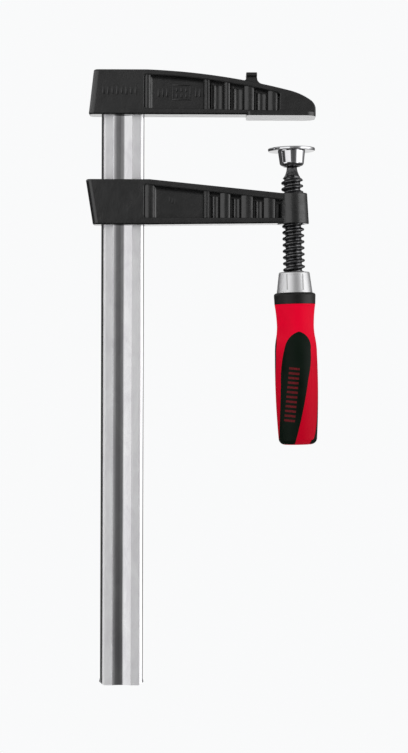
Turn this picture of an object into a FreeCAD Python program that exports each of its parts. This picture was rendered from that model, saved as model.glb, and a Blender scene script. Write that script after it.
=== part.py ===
import FreeCAD, Part
import os
import re

import Sketcher

# A screw clamp: a grooved steel rail with a jaw fixed round its top, an arm that slides on it,
# and a screw through the arm's boss that carries a swivel plate above and a handle below.
#
# Millimetres, +Z up the rail, +X from the rail towards the screw, so the clamp is seen from -Y.
# The origin is the point of the jaw's pad that the screw's axis meets. The screw leans a little,
# so everything on it is built upright round Z and turned about the origin as its last step.

SIZES = {
    # Rail
    "throat": 118.0,  # from the rail's near edge to the point that the screw meets
    "rail_width": 34.4,
    "rail_thickness": 11.0,
    "rail_drop": 457.3,  # from the pad's face down to the rail's foot
    "rail_edge_radius": 4.0,
    "rail_bevel_from": 22.0,  # degrees round the edge between which it is flat
    "rail_bevel_to": 54.0,
    "rail_groove_width": 15.3,
    "rail_groove_depth": 1.8,
    "rail_top_sink": 0.6,  # how far the rail's end lies below the top of the jaw
    "rail_jaw_fit": 0.05,
    "rail_arm_gap": 0.4,
    "swage_bulge": 0.7,
    "swage_rise": 2.6,  # height of the bulge above the foot
    "swage_run": 2.8,
    "swage_corner": 3.2,  # how far the foot is cut in from the rail's edge
    "swage_thickness": 5.0,
    # Both castings
    "casting_thickness": 20.0,
    "casting_edge_radius": 1.3,
    "casting_back_radius": 4.5,
    "pocket_corner_radius": 2.0,
    "pocket_lip_radius": 0.7,
    "panel_inset": 3.5,  # from the casting's face in to its web: at the panel, ribs and creases
    "rib_inset": 1.9,
    "crease_inset": 6.0,
    "crease_width": 0.9,
    "bay_depth": 3.2,
    "rib_bulge": 1.1,
    "twin_rib_width": 2.3,
    "twin_rib_bulge": 0.9,
    "panel_end": 70.8,  # from the screw back to the end of the flat panel
    # Fixed jaw
    "jaw_underside": 1.5,
    "jaw_back_top": 6.2,  # wall behind the rail, at the top and at the bottom
    "jaw_back_foot": 10.3,
    "jaw_shoulder": 2.8,
    "crown_radius": 540.0,  # the arched back
    "crown_rib": 4.1,
    "brow_in": 0.7,  # where the back bends down to the nose
    "brow_rise": 21.0,
    "brow_slope": 14.4,
    "brow_radius": 50.0,
    "tip_slope": 35.2,
    "nose_radius": 9.5,
    "jaw_pocket_floor": 6.6,
    "jaw_pocket_floor_end": 4.9,
    "jaw_pocket_end": 9.0,
    "jaw_first_rib": 5.1,
    "jaw_bay_width": 9.6,
    "jaw_bay_one": 63.4,
    "jaw_bay_two": 47.2,
    "jaw_bay_three": 28.2,
    # Lug on the jaw's back
    "lug_far": 36.2,
    "lug_near": 27.4,
    "lug_top": 35.6,
    "lug_foot": 31.0,
    "lug_cap_height": 2.9,
    "lug_cap_width": 17.0,
    "lug_post_width": 10.0,
    "lug_far_root": 39.7,
    "lug_near_root": 23.7,
    "lug_corner": 0.6,
    # Pad
    "pad_back": 35.9,
    "pad_width": 34.0,
    "pad_thickness": 3.1,
    "pad_nose_corner": 9.0,
    "pad_back_corner": 3.0,
    # Sliding arm, measured down from the pad's face
    "arm_top": 50.5,
    "arm_back_top": 12.5,
    "arm_back_foot": 6.6,
    "arm_shoulder": 4.6,
    "arm_top_end": 62.0,
    "arm_foot": 87.0,
    "arm_foot_end": 85.5,
    "arm_pocket_top": 54.5,
    "arm_pocket_top_end": 67.0,
    "arm_pocket_floor": 81.3,
    "arm_pocket_end": 4.0,
    "arm_first_rib": 8.4,
    "arm_bay_width": 7.2,
    "arm_bay_one": 64.0,
    "arm_bay_two": 47.0,
    "arm_bay_three": 28.9,
    "arm_last_rib_end": 11.0,
    "boss_top": 61.0,
    "boss_foot": 85.9,
    "boss_wall": 3.0,  # round the thread, at the boss's top
    "boss_flare": 0.9,
    "boss_edge_radius": 0.8,
    # Screw
    "lean": 1.46,  # degrees that the screw leans towards the rail at its top
    "ball_radius": 6.5,
    "ball_drop": 34.3,
    "neck_step": 2.4,  # how much slimmer the neck is than the ball
    "neck_length": 12.2,  # from the ball's centre to the neck's foot
    "neck_foot_radius": 5.8,
    "neck_flare_radius": 17.0,
    "thread_radius": 8.9,
    "thread_depth": 2.15,
    "thread_lead": 5.0,
    "thread_gap": 0.4,
    "thread_start": 1.0,  # from the neck's foot to the groove's first turn
    "thread_run_in": 3.9,  # from the neck's foot to the thread's full width
    "groove_mouth_half": 1.75,
    "groove_root_half": 1.05,
    "thread_in_ferrule": 2.8,
    "tang_radius": 6.0,
    "tang_length": 84.6,  # of it in the handle
    "tang_fit": 0.05,
    "bore_relief": 1.0,
    # Swivel plate
    "plate_radius": 19.0,
    "plate_thickness": 2.5,
    "plate_edge_radius": 0.7,
    "plate_crown": 1.44,  # over the socket's top
    "socket_gap": 0.26,  # round the spring ring
    "cup_wall": 1.54,
    "cup_flare": 1.1,
    "cup_side_below": 1.4,  # from the ball's centre down to where the cup turns in
    "cup_mouth_gap": 0.2,
    "cup_corner_radius": 3.6,
    "cup_lip": 0.5,
    "seat_gap": 0.3,
    "seat_thickness": 1.0,
    "seat_angle": 50.0,
    "ring_wire_radius": 0.7,
    "ring_gap": 0.2,
    "ring_drop": 3.6,
    "ring_angle": 330.0,
    # Ferrule and collar
    "ferrule_top": 124.4,
    "ferrule_length": 16.7,
    "ferrule_wall": 3.2,  # round the thread, at the ferrule's top
    "ferrule_flare": 1.95,
    "ferrule_corner": 1.2,
    "ferrule_counterbore": 1.1,  # past the end of the screw's shoulder
    "ferrule_panel_width": 12.9,
    "ferrule_panel_height": 12.6,
    "ferrule_panel_down": 2.1,
    "ferrule_panel_depth": 0.5,
    "collar_gap": 0.2,
    "grip_collar_length": 8.9,
    "grip_collar_top_radius": 16.8,
    "grip_collar_foot_radius": 16.5,
    "grip_collar_corner": 2.0,
    "grip_collar_bore_gap": 0.3,
    # Handle, measured down from its top
    "handle_top_radius": 16.45,
    "waist_radius": 14.9,
    "waist_down": 17.7,
    "waist_curve": 121.0,
    "swell_radius": 15.9,
    "swell_down": 27.6,
    "swell_inner_curve": 55.0,
    "belly_radius": 17.0,
    "belly_down": 40.7,
    "swell_outer_curve": 72.0,
    "belly_curve": 680.0,
    "heel_radius": 15.5,
    "heel_down": 108.4,
    "heel_curve": 5.2,
    "base_radius": 10.8,
    "base_down": 113.0,
    "handle_length": 113.4,
    # Inlays: outline seen square on, down from the handle's top
    "inlay_floor_radius": 12.6,
    "inlay_top_out": 2.0,
    "inlay_top_down": 22.2,
    "inlay_right_out": 11.3,
    "inlay_right_down": 36.7,
    "inlay_right_crown": 12.6,
    "inlay_bend_out": 9.05,
    "inlay_bend_down": 59.1,
    "inlay_bend_curve": 75.0,
    "inlay_end_out": 4.2,
    "inlay_end_down": 116.0,
    "inlay_run_curve": 400.0,
    "inlay_left_out": 9.4,
    "inlay_left_down": 34.5,
    "inlay_left_crown": 16.5,
    "inlay_side_out": 13.2,
    "inlay_side_down": 64.0,
    "inlay_side_curve": 105.0,
    "inlay_heel_out": 15.6,
}

RAIL_NEAR = "(-throat)"
RAIL_FAR = "(-throat - rail_width)"
RAIL_MID = "(-throat - rail_width / 2)"
SHOULDER = "(-throat + jaw_shoulder)"
BROW_OUT = "sin(brow_slope * 1 deg)"
BROW_UP = "cos(brow_slope * 1 deg)"
TIP_OUT = "sin(tip_slope * 1 deg)"
TIP_UP = "cos(tip_slope * 1 deg)"
NOSE_X = f"(-brow_in - brow_radius * {BROW_OUT} + (brow_radius - nose_radius) * {TIP_OUT})"
NOSE_Z = f"(brow_rise - brow_radius * {BROW_UP} + (brow_radius - nose_radius) * {TIP_UP})"
PAD_NOSE = f"({NOSE_X} + nose_radius)"
BALL = "(-ball_drop)"
PANEL_HALF = "(casting_thickness / 2 - panel_inset)"
RIB_HALF = "(casting_thickness / 2 - rib_inset)"
CREASE_HALF = "(casting_thickness / 2 - crease_inset)"
BOSS_TOP_RADIUS = "(thread_radius + boss_wall)"
BOSS_FOOT_RADIUS = f"({BOSS_TOP_RADIUS} + boss_flare)"
NECK_FOOT = "(ball_drop + neck_length)"
THREAD_TOP = f"({NECK_FOOT} + thread_start)"
THREAD_ROOT_RADIUS = "(thread_radius - thread_depth)"
THREAD_END = "(ferrule_top + thread_in_ferrule)"
SHOULDER_END = f"({THREAD_END} + thread_radius - tang_radius)"
RING_REACH = "(ball_radius + ring_gap + ring_wire_radius)"
SOCKET_RADIUS = f"({RING_REACH} + ring_wire_radius + socket_gap)"
PLATE_FACE = f"(ball_drop - {SOCKET_RADIUS} - plate_crown)"
PLATE_FOOT = f"({PLATE_FACE} + plate_thickness)"
CUP_MOUTH_RADIUS = "(ball_radius + cup_mouth_gap)"
CUP_FOOT_RADIUS = f"({SOCKET_RADIUS} + cup_wall)"
FERRULE_FOOT = "(ferrule_top + ferrule_length)"
FERRULE_TOP_RADIUS = "(thread_radius + thread_gap + ferrule_wall)"
FERRULE_FOOT_RADIUS = f"({FERRULE_TOP_RADIUS} + ferrule_flare)"
COLLAR_TOP = f"({FERRULE_FOOT} + collar_gap)"
COLLAR_FOOT = f"({COLLAR_TOP} + grip_collar_length)"
HANDLE_TOP = f"({COLLAR_FOOT} + collar_gap)"
TANG_END = f"({HANDLE_TOP} + tang_length)"


def crown(x, inset="0"):
    """Height of the jaw's arched back at x, or of the pocket's roof that lies inset under it."""
    run = f"({x} + brow_in + crown_radius * {BROW_OUT})"
    return f"(brow_rise - crown_radius * {BROW_UP} + sqrt((crown_radius - {inset}) ^ 2 - {run} ^ 2))"


JAW_TOP = crown(SHOULDER)
INLAY_TURNS = {"grip_inlay_front": 0, "grip_inlay_right": 132, "grip_inlay_left": 246}

doc = FreeCAD.newDocument("ScrewClamp")
sheet = doc.addObject("Spreadsheet::Sheet", "Sizes")
for row, (word, size) in enumerate(SIZES.items(), start=1):
    sheet.set(f"A{row}", word)
    sheet.set(f"B{row}", str(size))
    sheet.setAlias(f"B{row}", word)
doc.recompute()


def in_cells(text):
    """Turn each size's word in an expression into its cell in the sheet."""
    return re.sub(r"[a-z]\w*", lambda word: "Sizes." * (word[0] in SIZES) + word[0], str(text))


def size_of(text):
    return float(sheet.evalExpression(in_cells(text)))


def bind(item, prop, text):
    item.setExpression(prop, in_cells(text))


def arc_between(start, end, radius, turn):
    """The shorter arc from start to end, turning left (1) or right (-1) on the way."""
    half = (end - start) * 0.5
    square_on = FreeCAD.Vector(-half.y, half.x, 0).normalize() * turn
    centre = start + half + square_on * max(radius**2 - half.Length**2, 0) ** 0.5
    circle = Part.Circle(centre, FreeCAD.Vector(0, 0, 1), radius)
    first, last = (start, end) if turn > 0 else (end, start)
    return Part.ArcOfCircle(circle, circle.parameter(first), circle.parameter(last))


def draw(sketch, points, arcs):
    """Draw a closed outline through points, each a pair of expressions.

    arcs gives the radius and the turn of the arc that leaves a point, by the point's number.
    """
    places = [FreeCAD.Vector(size_of(x), size_of(y), 0) for x, y in points]
    start_of, end_of = [], []
    for number, start in enumerate(places):
        end = places[(number + 1) % len(places)]
        if number in arcs:
            radius, turn = arcs[number]
            line = sketch.addGeometry(arc_between(start, end, size_of(radius), turn))
            bend = sketch.addConstraint(Sketcher.Constraint("Radius", line, size_of(radius)))
            bind(sketch, f"Constraints[{bend}]", radius)
            start_of.append((line, 1 if turn > 0 else 2))
            end_of.append((line, 2 if turn > 0 else 1))
        else:
            line = sketch.addGeometry(Part.LineSegment(start, end))
            start_of.append((line, 1))
            end_of.append((line, 2))
    for number, (x, y) in enumerate(points):
        line, corner = start_of[number]
        sketch.addConstraint(Sketcher.Constraint("Coincident", *end_of[number - 1], line, corner))
        for way, text in (("DistanceX", x), ("DistanceY", y)):
            place = Sketcher.Constraint(way, -1, 1, line, corner, size_of(text))
            bind(sketch, f"Constraints[{sketch.addConstraint(place)}]", text)


def slab(name, points, arcs, width):
    """Extrude an outline of the XZ plane half of width to each side of it."""
    outline = doc.addObject("Sketcher::SketchObject", name + "_outline")
    outline.Placement.Rotation = FreeCAD.Rotation(FreeCAD.Vector(1, 0, 0), 90)
    draw(outline, points, arcs)
    solid = doc.addObject("Part::Extrusion", name)
    solid.Base = outline
    solid.DirMode = "Normal"
    solid.Solid = True
    solid.Symmetric = True
    bind(solid, "LengthFwd", width)
    return solid


def column(name, points, arcs, low, high):
    """Extrude an outline of the XY plane from the height low to the height high."""
    plan = doc.addObject("Sketcher::SketchObject", name + "_plan")
    draw(plan, points, arcs)
    bind(plan, "Placement.Base.z", low)
    solid = doc.addObject("Part::Extrusion", name)
    solid.Base = plan
    solid.DirMode = "Normal"
    solid.Solid = True
    bind(solid, "LengthFwd", f"{high} - {low}")
    return solid


def own_plane(body, role):
    return [part for part in body.Origin.OriginFeatures if part.Role == role][0]


def turned(name, points, arcs):
    """A body turned round Z from its half outline, in radii and heights."""
    body = doc.addObject("PartDesign::Body", name)
    half = body.newObject("Sketcher::SketchObject", name + "_half")
    half.AttachmentSupport = [(own_plane(body, "XZ_Plane"), "")]
    half.MapMode = "FlatFace"
    draw(half, points, arcs)
    spin = body.newObject("PartDesign::Revolution", name + "_spin")
    spin.Profile = half
    spin.ReferenceAxis = (own_plane(body, "Z_Axis"), [""])
    spin.Angle = 360
    return body


def cut_thread(body, grow, high, depth):
    """Cut the screw's groove, right-handed and downwards, with every face moved out by grow."""
    slope = "(groove_mouth_half - groove_root_half) / thread_depth"
    mouth = f"(groove_mouth_half + 2 * {slope} * {grow} - {grow})"
    root = f"(groove_root_half + {slope} * {grow} - {grow})"
    inner = f"({THREAD_ROOT_RADIUS} + {grow})"
    outer = f"(thread_radius + 2 * {grow})"
    profile = body.newObject("Sketcher::SketchObject", body.Name + "_groove")
    profile.AttachmentSupport = [(own_plane(body, "XZ_Plane"), "")]
    profile.MapMode = "FlatFace"
    corners = [
        (inner, f"{high} - {root}"),
        (outer, f"{high} - {mouth}"),
        (outer, f"{high} + {mouth}"),
        (inner, f"{high} + {root}"),
    ]
    draw(profile, corners, {})
    groove = body.newObject("PartDesign::SubtractiveHelix", body.Name + "_helix")
    groove.Profile = profile
    groove.ReferenceAxis = (own_plane(body, "Z_Axis"), [""])
    groove.Mode = "pitch-height-angle"
    groove.Reversed = True
    bind(groove, "Pitch", "thread_lead")
    bind(groove, "Height", depth)
    return groove


def joined(name, *pieces):
    solid = doc.addObject("Part::MultiFuse", name)
    solid.Shapes = list(pieces)
    solid.Refine = True
    return solid


def shared(name, first, second):
    solid = doc.addObject("Part::Common", name)
    solid.Base = first
    solid.Tool = second
    return solid


def cut(name, base, tool):
    solid = doc.addObject("Part::Cut", name)
    solid.Base = base
    solid.Tool = tool
    return solid


def rounded(name, base, radius, picks):
    """Round the edges of base that picks says yes to."""
    doc.recompute()
    solid = doc.addObject("Part::Fillet", name)
    solid.Base = base
    size = size_of(radius)
    chosen = [number for number, edge in enumerate(base.Shape.Edges, start=1) if picks(edge)]
    solid.Edges = [(number, size, size) for number in chosen]
    return solid


def runs_flat(edge, axis):
    """Whether all of an edge lies at one x, y or z."""
    places = [getattr(point, axis) for point in edge.discretize(5)]
    return max(places) - min(places) < 1e-4


def runs_along(edge, axis):
    ends = [corner.Point for corner in edge.Vertexes]
    if len(ends) < 2:
        return False
    way = (ends[1] - ends[0]).normalize()
    return abs(getattr(way, axis)) > 0.999


def leant(item):
    """Turn an upright piece of the screw to the way that the screw leans."""
    item.Placement = FreeCAD.Placement(
        FreeCAD.Vector(), FreeCAD.Rotation(FreeCAD.Vector(0, -1, 0), SIZES["lean"])
    )
    bind(item, "Placement.Rotation.Angle", "lean * 1 deg")
    return item


def rail_hole(name, gap, low, high):
    """The room that the rail takes in a casting, gap wider all round."""
    corner = f"(rail_edge_radius + {gap})"
    far = f"({RAIL_FAR} - {gap})"
    near = f"({RAIL_NEAR} + {gap})"
    half = f"(rail_thickness / 2 + {gap})"
    points = [
        (far, f"-{half} + {corner}"),
        (f"{far} + {corner}", f"-{half}"),
        (f"{near} - {corner}", f"-{half}"),
        (near, f"-{half} + {corner}"),
        (near, f"{half} - {corner}"),
        (f"{near} - {corner}", half),
        (f"{far} + {corner}", half),
        (far, f"{half} - {corner}"),
    ]
    arcs = {number: (corner, 1) for number in (0, 2, 4, 6)}
    return column(name, points, arcs, low, high)


def web(name, casting, last_rib_end, end, low, high):
    """The wavy wall in a casting's pocket: a rib, a flat panel, twin ribs, then three bays.

    Each bay is a scallop and the rib beside it a low swell, with a crease between them.
    """
    points = []
    arcs = {}

    def go(x, half):
        points.append((x, half))

    def swell(start, finish, half, bulge, turn):
        width = f"({finish} - {start})"
        go(start, half)
        arcs[len(points) - 1] = (f"(({width}) ^ 2 / 4 + {bulge} ^ 2) / (2 * {bulge})", turn)
        go(finish, half)

    start = f"({RAIL_NEAR} - casting_edge_radius)"
    first_end = f"({RAIL_NEAR} + {casting}_first_rib)"
    go(start, RIB_HALF)
    swell(RAIL_NEAR, first_end, RIB_HALF, "rib_bulge", -1)
    go(f"{first_end} + crease_width / 2", f"{RIB_HALF} - crease_width")
    go(f"{first_end} + crease_width * 1.5", PANEL_HALF)
    go("-panel_end", PANEL_HALF)
    twin = "(-panel_end + crease_width)"
    swell(twin, f"({twin} + twin_rib_width)", RIB_HALF, "twin_rib_bulge", -1)
    twin_end = f"({twin} + 2 * twin_rib_width)"
    swell(f"({twin_end} - twin_rib_width + crease_width / 4)", twin_end, RIB_HALF, "twin_rib_bulge", -1)
    rib_ends = [f"-{casting}_bay_two", f"-{casting}_bay_three", last_rib_end]
    for bay, rib_end in zip(("one", "two", "three"), rib_ends):
        bay_start = f"(-{casting}_bay_{bay})"
        bay_end = f"({bay_start} + {casting}_bay_width)"
        go(f"{bay_start} - crease_width", CREASE_HALF)
        go(bay_start, CREASE_HALF)
        swell(bay_start, bay_end, RIB_HALF, "bay_depth", 1)
        rib_start = f"({bay_end} + crease_width / 4)"
        swell(rib_start, f"({rib_end} - crease_width * 2)", RIB_HALF, "rib_bulge", -1)
    go(f"{rib_end} - crease_width", CREASE_HALF)
    go(end, CREASE_HALF)
    front = [(x, f"-({half})") for x, half in points]
    back = [(x, half) for x, half in reversed(points)]
    last = len(points) - 1
    front_arcs = {number: (radius, -turn) for number, (radius, turn) in arcs.items()}
    back_arcs = {2 * last - number: (radius, -turn) for number, (radius, turn) in arcs.items()}
    return column(name, front + back, {**front_arcs, **back_arcs}, low, high)


def pocketed(name, block, pocket, wall):
    """Hollow a casting's block from both sides down to its web, with a soft lip to the pocket."""
    soft_pocket = pocket.Name + "_soft"
    pocket = rounded(soft_pocket, pocket, "pocket_corner_radius", lambda edge: runs_along(edge, "y"))
    void = cut(name + "_void", pocket, wall)
    hollow = cut(name, block, void)
    doc.recompute()
    face = size_of("casting_thickness / 2")

    def on_lip(edge):
        middle = edge.valueAt((edge.FirstParameter + edge.LastParameter) / 2)
        return abs(abs(middle.y) - face) < 1e-4 and void.Shape.isInside(middle, 1e-4, True)

    return rounded(name + "_lip", hollow, "pocket_lip_radius", on_lip)


def rail_edge(out, up, start):
    """Four points round an edge of the rail, a quarter turn from start, with a bevel between two arcs.

    out and up place the middle of the edge's arc, from the middle of the rail.
    """
    bevel = ["rail_bevel_from", "rail_bevel_to"]
    if start in (0, 180):
        bevel = ["90 - rail_bevel_to", "90 - rail_bevel_from"]
    points = []
    for turn in ["0", *bevel, "90"]:
        angle = f"(({start} + {turn}) * 1 deg)"
        across = f"{RAIL_MID} + {out} + rail_edge_radius * cos{angle}"
        points.append((across, f"{up} + rail_edge_radius * sin{angle}"))
    return points


def build_rail():
    """Drawn bar with a groove in both broad faces and its foot swaged out as a stop."""
    half = "(rail_thickness / 2)"
    groove = "(rail_groove_width / 2)"
    out = "(rail_width / 2 - rail_edge_radius)"
    up = f"({half} - rail_edge_radius)"
    points = [
        *rail_edge(f"-{out}", f"-{up}", 180),
        (f"{RAIL_MID} - {groove}", f"-{half}"),
        (f"{RAIL_MID} + {groove}", f"-{half}"),
        *rail_edge(out, f"-{up}", 270),
        *rail_edge(out, up, 0),
        (f"{RAIL_MID} + {groove}", half),
        (f"{RAIL_MID} - {groove}", half),
        *rail_edge(f"-{out}", up, 90),
    ]
    groove_radius = "((rail_groove_width ^ 2 / 4 + rail_groove_depth ^ 2) / (2 * rail_groove_depth))"
    arcs = {number: ("rail_edge_radius", 1) for number in (0, 2, 6, 8, 10, 12, 16, 18)}
    arcs[4] = arcs[14] = (groove_radius, -1)
    bar = column("rail_bar", points, arcs, "(-rail_drop)", f"({JAW_TOP} - rail_top_sink)")

    pieces = [bar]
    corners = []
    for side, edge, way in (("far", RAIL_FAR, 1), ("near", RAIL_NEAR, -1)):
        swage = [
            (f"{edge} + {way} * swage_corner * 2", "-rail_drop"),
            (f"{edge} + {way} * swage_corner * 2", "-rail_drop + swage_rise + swage_run"),
            (edge, "-rail_drop + swage_rise + swage_run"),
            (f"{edge} - {way} * swage_bulge", "-rail_drop + swage_rise"),
            (f"{edge} + {way} * swage_corner", "-rail_drop"),
        ]
        pieces.append(slab(f"swage_{side}", swage, {}, "swage_thickness"))
        corner = [
            (f"{edge} + {way} * swage_corner", "-rail_drop"),
            (f"{edge} - {way} * swage_bulge", "-rail_drop + swage_rise"),
            (f"{edge} - {way} * swage_bulge * 2", "-rail_drop - swage_rise"),
            (f"{edge} + {way} * swage_corner", "-rail_drop - swage_rise"),
        ]
        corners.append(slab(f"foot_corner_{side}", corner, {}, "rail_thickness * 2"))
    return cut("rail_solid", joined("rail_swaged", *pieces), joined("foot_corners", *corners))


def build_jaw():
    """The jaw cast round the top of the rail: block, arched back, waved web, lug and pad."""
    outline = [
        (f"{RAIL_FAR} - jaw_back_foot", "jaw_underside"),
        (PAD_NOSE, "jaw_underside"),
        (PAD_NOSE, NOSE_Z),
        (f"{NOSE_X} + nose_radius * {TIP_OUT}", f"{NOSE_Z} + nose_radius * {TIP_UP}"),
        ("-brow_in", "brow_rise"),
        (SHOULDER, JAW_TOP),
        (f"{RAIL_FAR} - jaw_back_top", JAW_TOP),
    ]
    arcs = {2: ("nose_radius", 1), 3: ("brow_radius", 1), 4: ("crown_radius", 1)}
    block = soft_block("jaw", outline, arcs)
    pocket = [
        (RAIL_NEAR, "jaw_pocket_floor"),
        ("-jaw_pocket_end", "jaw_pocket_floor_end"),
        ("-jaw_pocket_end", crown("-jaw_pocket_end", "crown_rib")),
        (RAIL_NEAR, crown(RAIL_NEAR, "crown_rib")),
    ]
    pocket = slab("jaw_pocket", pocket, {2: ("(crown_radius - crown_rib)", 1)}, "casting_thickness * 2")
    wall = web("jaw_web", "jaw", "-jaw_pocket_end", "(-jaw_pocket_end + crease_width)", "0", JAW_TOP)
    body = pocketed("jaw_hollowed", block, pocket, wall)
    slot = rail_hole("jaw_slot", "rail_jaw_fit", "(-pad_width)", f"({JAW_TOP} + pad_width)")
    body = cut("jaw_slotted", body, slot)

    half = "(pad_width / 2)"
    plan = [
        ("-pad_back", f"-{half} + pad_back_corner"),
        ("-pad_back + pad_back_corner", f"-{half}"),
        (f"{PAD_NOSE} - pad_nose_corner", f"-{half}"),
        (PAD_NOSE, f"-{half} + pad_nose_corner"),
        (PAD_NOSE, f"{half} - pad_nose_corner"),
        (f"{PAD_NOSE} - pad_nose_corner", half),
        ("-pad_back + pad_back_corner", half),
        ("-pad_back", f"{half} - pad_back_corner"),
    ]
    corners = {
        0: ("pad_back_corner", 1),
        2: ("pad_nose_corner", 1),
        4: ("pad_nose_corner", 1),
        6: ("pad_back_corner", 1),
    }
    pad = column("pad", plan, corners, "0", "pad_thickness")
    return joined("jaw_solid", body, pad, *build_lug())


def build_lug():
    """The hooked lug on the jaw's back: a flared foot, a narrower post and a cap across it."""
    far_root = crown("-lug_far_root")
    near_root = crown("-lug_near_root")
    outline = [
        ("-lug_far_root", f"{far_root} - crown_rib / 2"),
        ("-lug_near_root", f"{near_root} - crown_rib / 2"),
        ("-lug_near_root", near_root),
        ("-lug_near", "lug_foot"),
        ("-lug_far", "lug_foot"),
        ("-lug_far_root", far_root),
    ]
    arcs = {
        2: (upright_bend("lug_near - lug_near_root", f"lug_foot - {near_root}"), -1),
        4: (upright_bend("lug_far_root - lug_far", f"lug_foot - {far_root}"), -1),
    }
    foot = slab("lug_foot_flare", outline, arcs, "casting_thickness - 2 * casting_edge_radius")
    post = upright_box("lug_post", "lug_post_width", "lug_foot - lug_cap_height", "lug_top - lug_corner")
    cap = upright_box("lug_cap", "lug_cap_width", "lug_top - lug_cap_height", "lug_top")
    return foot, post, rounded("lug_cap_soft", cap, "lug_corner", lambda edge: True)


def upright_bend(run, rise):
    """Radius of the arc that climbs rise over run and ends upright."""
    return f"((({run}) ^ 2 + ({rise}) ^ 2) / (2 * ({run})))"


def upright_box(name, width, low, high):
    """A box as long as the lug, width across the clamp, from low to high."""
    box = doc.addObject("Part::Box", name)
    bind(box, "Length", "lug_far - lug_near")
    bind(box, "Width", width)
    bind(box, "Height", f"{high} - ({low})")
    bind(box, "Placement.Base.x", "-lug_far")
    bind(box, "Placement.Base.y", f"-{width} / 2")
    bind(box, "Placement.Base.z", low)
    return box


def soft_block(name, outline, arcs):
    """A casting's outer block, with a well rounded back and soft long edges."""
    block = slab(name + "_block", outline, arcs, "casting_thickness")
    face = size_of("casting_thickness / 2")
    back = size_of(RAIL_FAR)

    def at_the_back(edge):
        return abs(edge.CenterOfMass.y) > face - 1e-4 and edge.BoundBox.XMax < back

    block = rounded(name + "_back_soft", block, "casting_back_radius", at_the_back)

    def outside(edge):
        on_face = abs(abs(edge.CenterOfMass.y) - face) < 1e-4 and runs_flat(edge, "y")
        behind = edge.BoundBox.XMax < back and runs_flat(edge, "z")
        return behind or on_face and edge.BoundBox.XMax > back

    return rounded(name + "_soft", block, "casting_edge_radius", outside)


def build_arm():
    """The arm that slides on the rail, with the threaded boss at its end."""
    outline = [
        (f"{RAIL_FAR} - arm_back_foot", "-arm_foot"),
        (f"{RAIL_NEAR} + arm_shoulder", "-arm_foot"),
        ("0", "-arm_foot_end"),
        ("0", "-arm_top_end"),
        (f"{RAIL_NEAR} + arm_shoulder", "-arm_top"),
        (f"{RAIL_FAR} - arm_back_top", "-arm_top"),
    ]
    block = soft_block("arm", outline, {})
    pocket = [
        (RAIL_NEAR, "-arm_pocket_floor"),
        ("-arm_pocket_end", "-arm_pocket_floor"),
        ("-arm_pocket_end", "-arm_pocket_top_end"),
        (RAIL_NEAR, "-arm_pocket_top"),
    ]
    pocket = slab("arm_pocket", pocket, {}, "casting_thickness * 2")
    wall = web("arm_web", "arm", "-arm_last_rib_end", "0", "(-arm_foot)", "(-arm_top)")
    body = pocketed("arm_hollowed", block, pocket, wall)
    body = cut("arm_slotted", body, rail_hole("arm_slot", "rail_arm_gap", "(-arm_foot * 2)", "0"))

    boss = doc.addObject("Part::Cone", "boss")
    bind(boss, "Radius1", BOSS_FOOT_RADIUS)
    bind(boss, "Radius2", BOSS_TOP_RADIUS)
    bind(boss, "Height", "boss_foot - boss_top")
    boss = rounded("boss_soft", boss, "boss_edge_radius", lambda edge: not runs_along(edge, "z"))
    on_screw(boss, "-boss_foot")
    screw_room = turned("screw_room", threaded_rod_outline("thread_gap"), {})
    cut_thread(screw_room, "thread_gap", f"(-{THREAD_TOP} - thread_lead)", "thread_lead * 9")
    leant(screw_room)
    return cut("arm_solid", joined("arm_with_boss", body, boss), screw_room)


def threaded_rod_outline(gap):
    """The room that the screw's thread turns in, through the boss and past both its ends."""
    return [
        ("0", "-boss_top + thread_lead"),
        ("0", "-boss_foot - thread_lead"),
        (f"thread_radius + {gap}", "-boss_foot - thread_lead"),
        (f"thread_radius + {gap}", "-boss_top + thread_lead"),
    ]


def on_screw(item, height):
    """Stand a piece on the leaning axis of the screw, at a height along it."""
    leant(item)
    bind(item, "Placement.Base.x", f"-sin(lean * 1 deg) * ({height})")
    bind(item, "Placement.Base.z", f"cos(lean * 1 deg) * ({height})")


def build_spindle():
    """Ball, flared neck, coarse thread and the tang that the handle is fixed to, in one piece."""
    neck = "(ball_radius - neck_step)"
    outline = [
        ("0", f"-{TANG_END}"),
        ("tang_radius", f"-{TANG_END}"),
        ("tang_radius", f"-{SHOULDER_END}"),
        ("thread_radius", f"-{THREAD_END}"),
        ("thread_radius", f"-{NECK_FOOT} - thread_run_in"),
        ("neck_foot_radius", f"-{NECK_FOOT}"),
        (neck, f"({BALL} - sqrt(ball_radius ^ 2 - {neck} ^ 2))"),
        ("0", f"{BALL} + ball_radius"),
    ]
    arcs = {5: ("neck_flare_radius", -1), 6: ("ball_radius", 1)}
    spindle = turned("spindle_rod", outline, arcs)
    cut_thread(spindle, "0", f"(-{THREAD_TOP})", f"{THREAD_END} - {THREAD_TOP}")
    return leant(spindle)


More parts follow.
